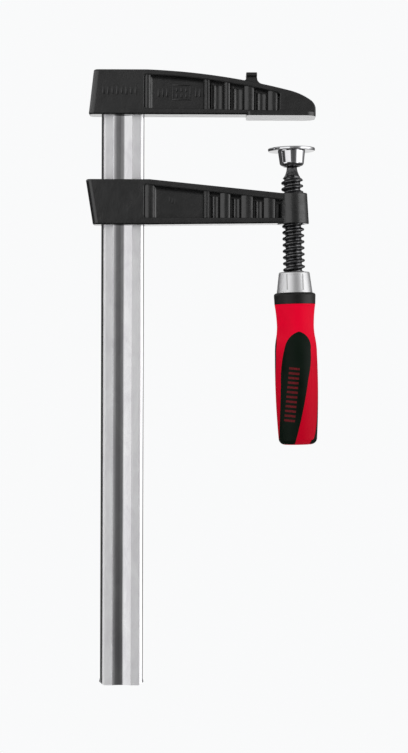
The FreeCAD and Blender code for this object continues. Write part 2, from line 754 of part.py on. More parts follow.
def build_ferrule():
    """Conical sleeve, counterbored for the thread's end, with a shallow panel in front."""
    counter_foot = f"(-{SHOULDER_END} - ferrule_counterbore)"
    outline = [
        ("tang_radius + tang_fit", f"-{FERRULE_FOOT}"),
        (FERRULE_FOOT_RADIUS, f"-{FERRULE_FOOT}"),
        (FERRULE_TOP_RADIUS, "-ferrule_top - ferrule_corner"),
        (f"{FERRULE_TOP_RADIUS} - ferrule_corner", "-ferrule_top"),
        ("thread_radius + thread_gap", "-ferrule_top"),
        ("thread_radius + thread_gap", counter_foot),
        ("tang_radius + tang_fit", counter_foot),
    ]
    sleeve = turned("ferrule_sleeve", outline, {2: ("ferrule_corner", 1)})
    panel_top = "(-ferrule_top - ferrule_panel_down)"
    panel = [
        ("-ferrule_panel_width / 2", f"{panel_top} - ferrule_panel_height"),
        ("ferrule_panel_width / 2", f"{panel_top} - ferrule_panel_height"),
        ("ferrule_panel_width / 2", panel_top),
        ("-ferrule_panel_width / 2", panel_top),
    ]
    window = slab("ferrule_window", panel, {}, f"{FERRULE_FOOT_RADIUS} * 2")
    bind(window, "Placement.Base.y", f"-{FERRULE_FOOT_RADIUS}")
    floor = doc.addObject("Part::Cone", "ferrule_floor")
    bind(floor, "Radius1", f"{FERRULE_FOOT_RADIUS} - ferrule_panel_depth")
    bind(floor, "Radius2", f"{FERRULE_TOP_RADIUS} - ferrule_panel_depth")
    bind(floor, "Height", "ferrule_length")
    bind(floor, "Placement.Base.z", f"-{FERRULE_FOOT}")
    return leant(cut("ferrule_solid", sleeve, cut("ferrule_recess", window, floor)))


def build_grip_collar():
    outline = [
        ("tang_radius + grip_collar_bore_gap", f"-{COLLAR_FOOT}"),
        ("grip_collar_foot_radius", f"-{COLLAR_FOOT}"),
        ("grip_collar_top_radius", f"-{COLLAR_TOP} - grip_collar_corner"),
        ("grip_collar_top_radius - grip_collar_corner", f"-{COLLAR_TOP}"),
        ("tang_radius + grip_collar_bore_gap", f"-{COLLAR_TOP}"),
    ]
    return leant(turned("grip_collar_ring", outline, {2: ("grip_collar_corner", 1)}))


def handle_profile():
    """The handle's side from its top edge down, and the arcs along it."""
    points = [
        ("handle_top_radius", f"-{HANDLE_TOP}"),
        ("waist_radius", f"-{HANDLE_TOP} - waist_down"),
        ("swell_radius", f"-{HANDLE_TOP} - swell_down"),
        ("belly_radius", f"-{HANDLE_TOP} - belly_down"),
        ("heel_radius", f"-{HANDLE_TOP} - heel_down"),
        ("base_radius", f"-{HANDLE_TOP} - base_down"),
        ("0", f"-{HANDLE_TOP} - handle_length"),
    ]
    curves = ["waist_curve", "swell_inner_curve", "swell_outer_curve", "belly_curve", "heel_curve"]
    turns = [1, 1, -1, -1, -1]
    return points, dict(enumerate(zip(curves, turns)))


def build_handle():
    """The hard core of the handle, with its three soft inlays let in round it."""
    side, arcs = handle_profile()
    whole = turned("handle_whole", side + [("0", f"-{HANDLE_TOP}")], arcs)
    bore = doc.addObject("Part::Cylinder", "handle_bore")
    bind(bore, "Radius", "tang_radius + tang_fit")
    bind(bore, "Height", "tang_length + grip_collar_length + bore_relief")
    bind(bore, "Placement.Base.z", f"-{TANG_END} - bore_relief")
    floor = doc.addObject("Part::Cylinder", "inlay_floor")
    bind(floor, "Radius", "inlay_floor_radius")
    bind(floor, "Height", "handle_length * 2")
    bind(floor, "Placement.Base.z", f"-{HANDLE_TOP} - handle_length * 3 / 2")
    outline = [
        ("-inlay_heel_out", f"-{HANDLE_TOP} - inlay_end_down"),
        ("-inlay_end_out", f"-{HANDLE_TOP} - inlay_end_down"),
        ("inlay_bend_out", f"-{HANDLE_TOP} - inlay_bend_down"),
        ("inlay_right_out", f"-{HANDLE_TOP} - inlay_right_down"),
        ("inlay_top_out", f"-{HANDLE_TOP} - inlay_top_down"),
        ("-inlay_left_out", f"-{HANDLE_TOP} - inlay_left_down"),
        ("-inlay_side_out", f"-{HANDLE_TOP} - inlay_side_down"),
    ]
    curves = {
        1: ("inlay_run_curve", 1),
        2: ("inlay_bend_curve", 1),
        3: ("inlay_right_crown", 1),
        4: ("inlay_left_crown", 1),
        5: ("inlay_side_curve", 1),
    }
    core = cut("handle_bored", whole, bore)
    inlays = {}
    for name, turn in INLAY_TURNS.items():
        stamp = slab(name + "_stamp", outline, curves, "belly_radius * 2")
        bind(stamp, "Placement.Base.x", f"belly_radius * sin({turn} * 1 deg)")
        bind(stamp, "Placement.Base.y", f"-belly_radius * cos({turn} * 1 deg)")
        stamp.Placement.Rotation = FreeCAD.Rotation(FreeCAD.Vector(0, 0, 1), turn)
        room = cut(name + "_room", stamp, floor)
        inlays[name] = leant(shared(name + "_solid", room, core))
        core = cut(name + "_let_in", core, room)
    return leant(core), inlays


def on_ball(reach, angle):
    """A point of the half plane at a distance from the ball's centre, by its angle from the axis."""
    return (f"{reach} * sin({angle} * 1 deg)", f"{BALL} + {reach} * cos({angle} * 1 deg)")


def build_seat():
    """Thin cap that the ball's crown pushes on."""
    inner = "(ball_radius + seat_gap)"
    outer = "(ball_radius + seat_gap + seat_thickness)"
    outline = [
        on_ball(inner, "seat_angle"),
        on_ball(outer, "seat_angle"),
        on_ball(outer, "0"),
        on_ball(inner, "0"),
    ]
    return leant(turned("seat_cap", outline, {1: (outer, 1), 3: (inner, -1)}))


def socket_width(height):
    """The radius of the plate's round socket at a height."""
    return f"sqrt({SOCKET_RADIUS} ^ 2 - ({height} - {BALL}) ^ 2)"


def build_disc():
    outline = [
        (socket_width(f"-{PLATE_FOOT}"), f"-{PLATE_FOOT}"),
        ("plate_radius - plate_edge_radius", f"-{PLATE_FOOT}"),
        ("plate_radius", f"-{PLATE_FOOT} + plate_edge_radius"),
        ("plate_radius", f"-{PLATE_FACE} - plate_edge_radius"),
        ("plate_radius - plate_edge_radius", f"-{PLATE_FACE}"),
        ("0", f"-{PLATE_FACE}"),
        ("0", f"{BALL} + {SOCKET_RADIUS}"),
    ]
    arcs = {1: ("plate_edge_radius", 1), 3: ("plate_edge_radius", 1), 6: (SOCKET_RADIUS, -1)}
    return leant(turned("disc_turned", outline, arcs))


def build_cup():
    mouth = f"({BALL} - sqrt({SOCKET_RADIUS} ^ 2 - {CUP_MOUTH_RADIUS} ^ 2))"
    outline = [
        (CUP_MOUTH_RADIUS, mouth),
        (f"{CUP_MOUTH_RADIUS} + cup_lip", mouth),
        (CUP_FOOT_RADIUS, f"{BALL} - cup_side_below"),
        (f"{CUP_FOOT_RADIUS} + cup_flare", f"-{PLATE_FOOT}"),
        (socket_width(f"-{PLATE_FOOT}"), f"-{PLATE_FOOT}"),
    ]
    return leant(turned("cup_turned", outline, {1: ("cup_corner_radius", 1), 4: (SOCKET_RADIUS, -1)}))


def build_ring():
    """Open wire ring inside the cup that springs over the ball."""
    ring = doc.addObject("Part::Torus", "ring_wire")
    bind(ring, "Radius1", f"sqrt({RING_REACH} ^ 2 - ring_drop ^ 2)")
    bind(ring, "Radius2", "ring_wire_radius")
    bind(ring, "Angle3", "ring_angle")
    on_screw(ring, f"{BALL} - ring_drop")
    return ring


core, inlays = build_handle()
pieces = {
    "rail": build_rail(),
    "fixed_jaw": build_jaw(),
    "sliding_arm": build_arm(),
    "spindle": build_spindle(),
    "ferrule": build_ferrule(),
    "grip_collar": build_grip_collar(),
    "handle_core": core,
    **inlays,
    "ball_seat": build_seat(),
    "spring_ring": build_ring(),
    "pressure_disc": build_disc(),
    "socket_cup": build_cup(),
}
doc.recompute()

for item in doc.Objects:
    for fault in ("Invalid", "Error"):
        if fault in item.State:
            raise RuntimeError(f"{item.Name} was left {fault}")
for name, piece in pieces.items():
    piece.Label = name
    if piece.Shape.isNull() or not piece.Shape.isValid():
        raise RuntimeError(f"{name} has no valid shape")

os.makedirs("parts", exist_ok=True)
for name, piece in pieces.items():
    piece.Shape.exportStep(f"parts/{name}.step")
    print(name, len(piece.Shape.Solids), round(piece.Shape.Volume))
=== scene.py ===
import math

import bmesh
import bpy
from mathutils import Matrix, Vector


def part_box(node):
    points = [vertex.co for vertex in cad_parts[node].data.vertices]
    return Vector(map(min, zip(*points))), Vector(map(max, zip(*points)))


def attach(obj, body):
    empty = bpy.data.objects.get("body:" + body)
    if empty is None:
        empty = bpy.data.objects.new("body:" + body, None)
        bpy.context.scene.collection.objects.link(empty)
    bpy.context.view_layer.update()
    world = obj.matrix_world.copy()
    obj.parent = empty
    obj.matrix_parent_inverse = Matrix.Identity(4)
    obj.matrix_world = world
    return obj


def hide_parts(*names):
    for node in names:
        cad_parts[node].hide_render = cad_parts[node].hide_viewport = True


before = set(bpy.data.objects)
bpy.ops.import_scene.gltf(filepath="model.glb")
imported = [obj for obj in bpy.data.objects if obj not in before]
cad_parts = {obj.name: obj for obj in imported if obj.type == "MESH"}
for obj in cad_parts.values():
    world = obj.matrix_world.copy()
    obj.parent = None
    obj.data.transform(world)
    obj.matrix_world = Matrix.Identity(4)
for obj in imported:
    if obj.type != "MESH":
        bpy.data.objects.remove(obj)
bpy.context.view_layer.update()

# A screw clamp, seen square on to the flat of its rail: +Z up the rail, +X from the rail
# towards the screw, the camera looking along +Y. Lengths below are in millimetres.
MM = 0.001
SCREW_LEAN = math.radians(1.46)
CAMERA_PLACE = Vector((-69.3, -1600.0, -208.75))
CAMERA_ROLL = math.radians(-0.18)
CAMERA_SIGHT = 40000
LENS = 94.8
SENSOR = 36.0

# The floor lies under the foot of the rail, clear of the handle with the arm at its lowest,
# and fades into the backdrop from near to clear
BACKDROP = (0.95, 0.95475, 0.9595, 1)
FLOOR_TONE = (0.70, 0.705, 0.71, 1)
FLOOR_DROP = 200
FLOOR_RADIUS = 1400
FLOOR_NEAR = 120
FLOOR_CLEAR = 700

# Brightness by heading, in degrees from behind the camera: level with the top of the clamp,
# a little above that, level with its foot, and well below it
STUDIO_STRENGTH = 1.9
OVERHEAD = (0.85, 0.85, 0.85, 1)
OVERHEAD_IN_GLOSS = (0.16, 0.16, 0.16, 1)
UNDERNEATH = (0.45, 0.45, 0.45, 1)
UNDERNEATH_IN_GLOSS = (0.015, 0.015, 0.015, 1)
TOP_BANDS = [
    (-180, 0.60), (-172, 0.60), (-164, 0.03), (-84, 0.03), (-64, 0.03), (-57, 0.46), (-12, 0.52),
    (-8, 0.15), (4, 0.13), (10, 0.08), (30, 0.10), (40, 0.26), (50, 1.00), (92, 1.00),
    (112, 0.30), (130, 0.08), (164, 0.06), (172, 0.60), (180, 0.60),
]
HIGH_BANDS = [
    (-180, 0.10), (-156, 0.16), (-120, 0.40), (-97, 0.66), (-78, 0.72), (-62, 0.50),
    (-46, 0.55), (-32, 0.42), (-18, 0.30), (-4, 0.20), (9, 0.18), (23, 0.22), (38, 0.28),
    (53, 0.36), (69, 0.56), (87, 0.44), (108, 0.26), (138, 0.10), (180, 0.10),
]
FOOT_BANDS = [
    (-180, 0.60), (-172, 0.60), (-164, 0.03), (-84, 0.03), (-64, 0.03), (-57, 0.50), (-12, 0.54),
    (-8, 0.06), (4, 0.05), (10, 0.04), (30, 0.05), (40, 0.12), (50, 0.95), (92, 1.00),
    (112, 0.30), (130, 0.08), (164, 0.06), (172, 0.60), (180, 0.60),
]
LOW_BANDS = [
    (-180, 0.60), (-172, 0.50), (-160, 0.05), (-92, 0.03), (-86, 0.60), (-54, 0.66),
    (-44, 0.05), (-28, 0.02), (-16, 0.10), (-2, 0.10), (6, 0.02), (28, 0.05), (42, 0.20),
    (50, 0.80), (62, 0.80), (74, 0.16), (100, 0.08), (114, 0.03), (160, 0.05), (172, 0.50),
    (180, 0.60),
]

# How steep a direction is where each light begins to take over, and where it has
FOOT_RISE = (0.12, -0.14)
HIGH_RISE = (0.155, 0.19)
OVERHEAD_RISE = (0.30, 0.55)
LOW_RISE = (-0.18, -0.22)
UNDERNEATH_RISE = (-0.42, -0.60)

# Tones of the finishes, the darker one first
ENAMEL_TONES = ((0.0045, 0.0047, 0.0047), (0.009, 0.009, 0.0092))
GROOVE_TONES = ((0.70, 0.69, 0.715), (0.80, 0.80, 0.81))
LAND_TONES = ((0.90, 0.89, 0.91), (0.99, 0.99, 1.0))
OXIDE_TONES = ((0.08, 0.08, 0.084), (0.30, 0.30, 0.305))
COLLAR_TONES = ((0.004, 0.0042, 0.0037), (0.0065, 0.0066, 0.006))
INLAY_TONES = ((0.0016, 0.0056, 0.0026), (0.0034, 0.0092, 0.0050))
LINER_TONES = ((0.62, 0.61, 0.56), (0.72, 0.71, 0.67))
# The handle's red at the neck, then copies darkened with painted shade for the grip and the heel
NECK_TONES = ((0.76, 0.0009, 0.025), (0.82, 0.0012, 0.028))
GRIP_SHADE_TONES = ((0.53, 0.0005, 0.016), (0.57, 0.0007, 0.018))
HEEL_SHADE_TONE = (0.47, 0.0004, 0.014, 1)
BAR_TONE = (0.15, 0.009, 0.014, 1)
FERRULE_TONE = (0.88, 0.88, 0.89)
# Painted shade along the upright edges of the ferrule's panel
PANEL_EDGE_SHADE_TONE = (0.56, 0.56, 0.56, 1)
CHROME_TONE = (0.80, 0.80, 0.82)
# A darker copy of the chrome: painted shade for what faces straight down
CHROME_UNDER_SHADE = (0.13, 0.13, 0.135, 1)
SPRING_TONE = (0.55, 0.55, 0.57)

# The rail: its middle along X, from there the edges of its sanded lands, how much less metallic
# and how much rougher the lands are, and the noise values over which it stains
RAIL_MIDDLE = -135.2
LAND_FROM_GROOVE = (7.4, 7.8)
LAND_TO_BEVEL = (15.1, 15.4)
LAND_METAL = 0.66
LAND_DULLNESS = 0.36
STAIN_SPREAD = (0.36, 0.62)

# The bars printed on the handle's front inlay, across and along their slanting row
BAR_SLANT = math.radians(5.1)
BAR_MIDDLE = 21.0
BAR_WIDTH = 8.6
BAR_HEIGHT = 1.8
BAR_PITCH = 3.8
BARS_TOP = -199.5
BARS_FOOT = -244.8

# Where along Z painted shade begins to deepen the handle's red, deepens it more, and deepens it
# most
RED_NECK = -165
RED_GRIP = -203
RED_HEEL = -252

# The ferrule's sunk panel, with painted shade along its two upright edges
PANEL_EDGE = 6.45
PANEL_TOP = -126.5
PANEL_FOOT = -139.1
EDGE_SHADE_WIDTH = 0.8

# The pockets of the castings: the line of the upper edge as X and Z, how far the hollow under it
# drops, and how far the face, the flat panel and the creases stand out from the middle
JAW_BROW = [
    (-117.6, 32.9), (-116.0, 33.5), (-106.6, 33.1), (-98.6, 32.6), (-89.3, 31.9), (-80.0, 31.0),
    (-71.0, 30.0), (-62.9, 29.0), (-49.7, 27.0), (-40.5, 25.4), (-32.7, 24.0), (-23.5, 22.2),
    (-10.6, 19.2), (-9.2, 18.2),
]
ARM_BROW = [(-117.6, -55.4), (-116.0, -54.8), (-75.0, -59.2), (-35.0, -63.6), (-6.2, -66.7)]
BROW_DROP = 3.4
BROW_INSET = 0.25
BROW_BURIED = 0.3
BROW_STEPS = 6
FACE_OUT = 10.0
PANEL_OUT = 6.5
CREASE_OUT = 4.1

# The raised bars on the castings: X and Z of the middle, then width, thickness and height
JAW_BLOCK_BARS = [
    (-150.6 + 3.7 * count, 20.9, 1.9, 1.1, 6.4 + 0.8 * (count % 2)) for count in range(8)
]
JAW_PANEL_BARS = [
    (-88.0, 25.4, 15.0, 1.2, 1.1), (-88.0, 13.8, 15.0, 1.2, 1.1),
    (-95.0, 19.6, 1.1, 1.2, 10.8), (-81.0, 19.6, 1.1, 1.2, 10.8),
    (-91.8, 21.9, 1.7, 1.1, 3.6), (-91.8, 17.2, 1.7, 1.1, 3.6),
    (-88.0, 21.9, 1.7, 1.1, 3.6), (-88.0, 17.2, 1.7, 1.1, 3.6),
    (-84.2, 21.9, 1.7, 1.1, 3.6), (-84.2, 17.2, 1.7, 1.1, 3.6),
    (-106.4, 19.4, 1.7, 1.1, 7.2), (-103.0, 19.4, 1.7, 1.1, 7.2), (-99.6, 19.4, 1.7, 1.1, 7.2),
    (-76.4, 19.4, 1.7, 1.1, 7.2), (-73.4, 19.4, 1.7, 1.1, 7.2),
]
ARM_PANEL_BARS = [
    (-97.2, -66.4, 1.3, 1.1, 5.0), (-95.0, -67.3, 1.3, 1.1, 5.0), (-92.8, -68.2, 1.3, 1.1, 5.0),
]
BAR_BEVEL = 0.2

# The screw, down its own axis from the pad's face: radii and heights of its core, and of one
# crest of its thread about the crest's own middle
BALL_HEIGHT = -34.3
BALL_RADIUS = 6.5
LEAD = 5.0
TURNS = 16
STEPS_PER_TURN = 48
ROUND_STEPS = 64
BALL_RINGS = 40
FIRST_CREST = -45.0
CORE = [
    (0, -37.0), (3.6, -38.4), (4.1, -39.3), (4.2, -41.0), (4.5, -42.9), (5.0, -44.5),
    (5.8, -46.5), (6.3, -47.7), (6.3, -130.0), (6.0, -131.0), (6.0, -235.0), (0, -235.0),
]
CREST = [
    (6.45, 2.5), (6.48, 2.0), (6.8, 1.65), (7.5, 1.35), (8.25, 1.05), (8.72, 0.65), (8.9, 0.2),
    (8.9, -0.2), (8.72, -0.65), (8.25, -1.05), (7.5, -1.35), (6.8, -1.65), (6.48, -2.0),
    (6.45, -2.5),
]

# Where the thread fades into the neck: full below the first height, cut to a cone up to the
# second, and sunk in the neck's own cone above it, with the radius at the start of each
THREAD_FULL = -50.4
THREAD_FADED = -46.5
FULL_ROOM = 9.0
FADED_ROOM = 5.8
FADE_SLOPE = 0.8
NECK_ROOM = 5.65
NECK_SLOPE = 0.45

# Points of a new piece that lie closer than this are one point
SAME_PLACE = 0.004


def node_tree(name):
    """A fresh material and its tree, with a Principled surface joined to the output."""
    material = bpy.data.materials.new(name)
    material.use_nodes = True
    tree = material.node_tree
    shader = tree.nodes["Principled BSDF"]
    return material, tree, shader


def join(tree, start, end):
    """Link one node's output to another's input."""
    tree.links.new(start, end)


def axes_of(tree, kind="Object"):
    """X, Y and Z of a place, or with Normal of the way that a surface faces."""
    split = tree.nodes.new("ShaderNodeSeparateXYZ")
    join(tree, tree.nodes.new("ShaderNodeTexCoord").outputs[kind], split.inputs["Vector"])
    return split.outputs["X"], split.outputs["Y"], split.outputs["Z"]


def object_place(tree, scale=(1, 1, 1), turn=(0, 0, 0)):
    """Object coordinates through a Mapping node that stretches and turns them."""
    place = tree.nodes.new("ShaderNodeTexCoord")
    mapping = tree.nodes.new("ShaderNodeMapping")
    mapping.inputs["Scale"].default_value = scale
    mapping.inputs["Rotation"].default_value = turn
    join(tree, place.outputs["Object"], mapping.inputs["Vector"])
    return mapping.outputs["Vector"]


def screw_place(tree, scale):
    """Object coordinates stretched along the screw's leaning axis and across it."""
    return object_place(tree, scale, (0, -SCREW_LEAN, 0))


def noise(tree, place, scale=1.0, detail=3.0, rough=0.5, distortion=0.0):
    """Cloudy values round a half, with scale features to a metre."""
    texture = tree.nodes.new("ShaderNodeTexNoise")
    texture.inputs["Scale"].default_value = scale
    texture.inputs["Detail"].default_value = detail
    texture.inputs["Roughness"].default_value = rough
    texture.inputs["Distortion"].default_value = distortion
    join(tree, place, texture.inputs["Vector"])
    return texture.outputs["Fac"]


def ranged(tree, value, low, high, start=0.3, end=0.7):
    """A value that runs from start to end, spread over low to high."""
    spread = tree.nodes.new("ShaderNodeMapRange")
    spread.inputs["From Min"].default_value = start
    spread.inputs["From Max"].default_value = end
    spread.inputs["To Min"].default_value = low
    spread.inputs["To Max"].default_value = high
    join(tree, value, spread.inputs["Value"])
    return spread.outputs["Result"]


def tinted(tree, value, tones, start=0.3, end=0.7):
    """The first tone up to start, the second from end on, and a blend between them."""
    ramp = tree.nodes.new("ShaderNodeValToRGB")
    for stop, place, tone in zip(ramp.color_ramp.elements, (start, end), tones):
        stop.position = place
        stop.color = (*tone, 1)
    join(tree, value, ramp.inputs["Fac"])
    return ramp.outputs["Color"]


def mixed(tree, share, first, second):
    """first where share is 0, second where it is 1."""
    blend = tree.nodes.new("ShaderNodeMix")
    blend.data_type = "RGBA"
    join(tree, share, blend.inputs["Factor"])
    for socket, colour in (("A", first), ("B", second)):
        if isinstance(colour, tuple):
            blend.inputs[socket].default_value = colour
        else:
            join(tree, colour, blend.inputs[socket])
    return blend.outputs["Result"]


def stepped(tree, operation, value, second=0.0):
    """One step of arithmetic on a value."""
    step = tree.nodes.new("ShaderNodeMath")
    step.operation = operation
    join(tree, value, step.inputs[0])
    if isinstance(second, (int, float)):
        step.inputs[1].default_value = second
    else:
        join(tree, second, step.inputs[1])
    return step.outputs["Value"]


def all_of(tree, first, *others):
    """Masks multiplied together, so 1 only where every one is 1."""
    for other in others:
        first = stepped(tree, "MULTIPLY", first, other)
    return first


def between(tree, value, low, high):
    """1 where a length lies between two others in millimetres."""
    below = stepped(tree, "LESS_THAN", value, high * MM)
    return all_of(tree, below, stepped(tree, "GREATER_THAN", value, low * MM))


def raised(tree, heights, depth, before=None):
    """A bump of heights, depth millimetres deep, on top of the bump before it."""
    bump = tree.nodes.new("ShaderNodeBump")
    bump.inputs["Strength"].default_value = 1.0
    bump.inputs["Distance"].default_value = depth * MM
    join(tree, heights, bump.inputs["Height"])
    if before is not None:
        join(tree, before, bump.inputs["Normal"])
    return bump.outputs["Normal"]


def black_enamel():
    """Satin black enamel over the grain of a casting, ground smooth on the faces below."""
    material, tree, shader = node_tree("black_enamel")
    place = object_place(tree)
    grain = noise(tree, place, scale=900, detail=4.0, rough=0.55)
    waves = noise(tree, place, scale=120, detail=2.0)
    mottle = noise(tree, place, scale=45, detail=4.0, rough=0.6)
    join(tree, tinted(tree, mottle, ENAMEL_TONES), shader.inputs["Base Color"])
    ground = ranged(tree, axes_of(tree, "Normal")[2], 0.12, 0.60, start=-0.97, end=-0.85)
    roughness = stepped(tree, "MINIMUM", ranged(tree, mottle, 0.20, 0.29), ground)
    join(tree, roughness, shader.inputs["Roughness"])
    join(tree, raised(tree, grain, 0.06, raised(tree, waves, 0.22)), shader.inputs["Normal"])
    shader.inputs["Specular IOR Level"].default_value = 1.0
    return material


def drawn_steel():
    """Bright bar with the lines of drawing along it, duller on its lands than in its groove."""
    material, tree, shader = node_tree("drawn_steel")
    lines = noise(tree, object_place(tree, (2600, 2600, 9)), rough=0.6)
    streaks = noise(tree, object_place(tree, (420, 420, 4)), detail=2.0)
    stain = noise(tree, object_place(tree, (90, 90, 34)), detail=5.0, rough=0.65, distortion=0.6)
    across = stepped(tree, "SUBTRACT", axes_of(tree)[0], RAIL_MIDDLE * MM)
    offset = stepped(tree, "ABSOLUTE", across)
    inner = ranged(tree, offset, 0.0, 1.0, *(edge * MM for edge in LAND_FROM_GROOVE))
    outer = ranged(tree, offset, 1.0, 0.0, *(edge * MM for edge in LAND_TO_BEVEL))
    land = all_of(tree, inner, outer)
    groove_tone = tinted(tree, stain, GROOVE_TONES, *STAIN_SPREAD)
    land_tone = tinted(tree, stain, LAND_TONES, *STAIN_SPREAD)
    join(tree, mixed(tree, land, groove_tone, land_tone), shader.inputs["Base Color"])
    join(tree, ranged(tree, land, 1.0, LAND_METAL, start=0.0, end=1.0), shader.inputs["Metallic"])
    dulled = stepped(tree, "MULTIPLY", land, LAND_DULLNESS)
    roughness = stepped(tree, "ADD", dulled, ranged(tree, stain, 0.07, 0.12))
    join(tree, roughness, shader.inputs["Roughness"])
    join(tree, raised(tree, lines, 0.012, raised(tree, streaks, 0.04)), shader.inputs["Normal"])
    return material


def black_oxide():
    """Burnished black oxide on the turned screw, worn paler in flecks."""
    material, tree, shader = node_tree("black_oxide")
    shader.inputs["Metallic"].default_value = 1.0
    rings = noise(tree, screw_place(tree, (160, 160, 2400)))
    flecks = noise(tree, screw_place(tree, (380, 380, 520)), detail=5.0, rough=0.65)
    join(tree, tinted(tree, flecks, OXIDE_TONES, 0.4, 0.72), shader.inputs["Base Color"])
    join(tree, ranged(tree, flecks, 0.28, 0.18), shader.inputs["Roughness"])
    join(tree, raised(tree, rings, 0.02), shader.inputs["Normal"])
    return material


def panel_edge_shade(tree):
    """Where painted shade darkens the two upright edges of the ferrule's panel."""
    across, deep, up = axes_of(tree)
    leaning = stepped(tree, "MULTIPLY", up, math.tan(SCREW_LEAN))
    side = stepped(tree, "ABSOLUTE", stepped(tree, "ADD", leaning, across))
    away = stepped(tree, "ABSOLUTE", stepped(tree, "SUBTRACT", side, PANEL_EDGE * MM))
    near = stepped(tree, "LESS_THAN", away, EDGE_SHADE_WIDTH / 2 * MM)
    front = stepped(tree, "LESS_THAN", deep)
    return all_of(tree, near, front, between(tree, up, PANEL_FOOT, PANEL_TOP))


def turned_steel(name, tone, low, high, ring_depth, shade_under=False, edge_shaded=False):
    """Bright steel with the rings of turning round the screw's axis.

    Its roughness runs from low to high, and the rings are ring_depth millimetres deep.
    Painted shade can darken what faces straight down, and the two upright edges of the ferrule's
    panel.
    """
    material, tree, shader = node_tree(name)
    shader.inputs["Metallic"].default_value = 1.0
    rings = noise(tree, screw_place(tree, (90, 90, 5200)), detail=2.0)
    cloud = noise(tree, screw_place(tree, (140, 140, 140)), detail=4.0, rough=0.6)
    pale = tuple(min(channel * 1.08, 1) for channel in tone)
    colour = tinted(tree, cloud, (tone, pale))
    # Painted shade on what faces straight down
    if shade_under:
        share = ranged(tree, axes_of(tree, "Normal")[2], 0.0, 1.0, start=-0.86, end=-0.97)
        colour = mixed(tree, share, colour, CHROME_UNDER_SHADE)
    # Painted shade along the upright edges of the ferrule's panel
    if edge_shaded:
        colour = mixed(tree, panel_edge_shade(tree), colour, PANEL_EDGE_SHADE_TONE)
    join(tree, colour, shader.inputs["Base Color"])
    join(tree, ranged(tree, cloud, low, high), shader.inputs["Roughness"])
    join(tree, raised(tree, rings, ring_depth), shader.inputs["Normal"])
    return material


def printed_bars(tree):
    """Where the plain bars are printed, one above the other on the front of the handle."""
    across, deep, up = axes_of(tree)
    slope = math.tan(BAR_SLANT)
    along = stepped(tree, "ADD", stepped(tree, "MULTIPLY", across, slope), up)
    offset = stepped(tree, "ADD", stepped(tree, "MULTIPLY", up, -slope), across)
    side = stepped(tree, "ABSOLUTE", stepped(tree, "SUBTRACT", offset, BAR_MIDDLE * MM))
    wide = stepped(tree, "LESS_THAN", side, BAR_WIDTH / 2 * MM)
    climb = stepped(tree, "SUBTRACT", along, BARS_FOOT * MM)
    part = stepped(tree, "FRACT", stepped(tree, "DIVIDE", climb, BAR_PITCH * MM))
    inked = stepped(tree, "LESS_THAN", part, BAR_HEIGHT / BAR_PITCH)
    front = stepped(tree, "LESS_THAN", deep)
    return all_of(tree, wide, inked, front, between(tree, along, BARS_FOOT, BARS_TOP))


def soft_black_grip(name, tones, gloss, barred=False):
    """Soft moulded grip, satin, with the fine bloom of the mould."""
    material, tree, shader = node_tree(name)
    place = object_place(tree)
    skin = noise(tree, place, scale=2600)
    cloud = noise(tree, place, scale=60)
    colour = tinted(tree, cloud, tones)
    if barred:
        worn = ranged(tree, noise(tree, place, scale=900), 0.45, 1.0)
        colour = mixed(tree, all_of(tree, printed_bars(tree), worn), colour, BAR_TONE)
    join(tree, colour, shader.inputs["Base Color"])
    join(tree, ranged(tree, cloud, 0.36, 0.46), shader.inputs["Roughness"])
    join(tree, raised(tree, skin, 0.03), shader.inputs["Normal"])
    shader.inputs["Specular IOR Level"].default_value = gloss
    return material


def red_plastic():
    """Hard satin red moulding, with painted shade that deepens the red from the neck down to the
    heel.
    """
    material, tree, shader = node_tree("red_plastic")
    place = object_place(tree)
    flow = noise(tree, place, scale=70)
    skin = noise(tree, place, scale=1800, detail=2.0)
    up = axes_of(tree)[2]
    # Painted shade: the red darkens down the handle
    grip_shade = ranged(tree, up, 0.0, 1.0, RED_NECK * MM, RED_GRIP * MM)
    heel_shade = ranged(tree, up, 0.0, 1.0, RED_GRIP * MM, RED_HEEL * MM)
    colour = mixed(tree, grip_shade, tinted(tree, flow, NECK_TONES), tinted(tree, flow, GRIP_SHADE_TONES))
    join(tree, mixed(tree, heel_shade, colour, HEEL_SHADE_TONE), shader.inputs["Base Color"])
    join(tree, ranged(tree, flow, 0.36, 0.44), shader.inputs["Roughness"])
    join(tree, raised(tree, skin, 0.012), shader.inputs["Normal"])
    shader.inputs["Specular IOR Level"].default_value = 0.05
    return material


def liner_plastic():
    """Off-white moulded liner, seen only when the plate is off."""
    material, tree, shader = node_tree("liner_plastic")
    cloud = noise(tree, object_place(tree), scale=400)
    join(tree, tinted(tree, cloud, LINER_TONES), shader.inputs["Base Color"])
    join(tree, ranged(tree, cloud, 0.4, 0.5), shader.inputs["Roughness"])
    return material


def bands(tree, heading, levels):
    """Light by heading: levels holds degrees and brightness, from -180 to 180."""
    ramp = tree.nodes.new("ShaderNodeValToRGB")
    stops = ramp.color_ramp.elements
    while len(stops) < len(levels):
        stops.new(1.0)
    for stop, (degrees, level) in zip(stops, levels):
        stop.position = (degrees + 180) / 360
        stop.color = (level, level, level, 1)
    join(tree, ranged(tree, heading, 0.0, 1.0, -math.pi, math.pi), ramp.inputs["Fac"])
    return ramp.outputs["Color"]


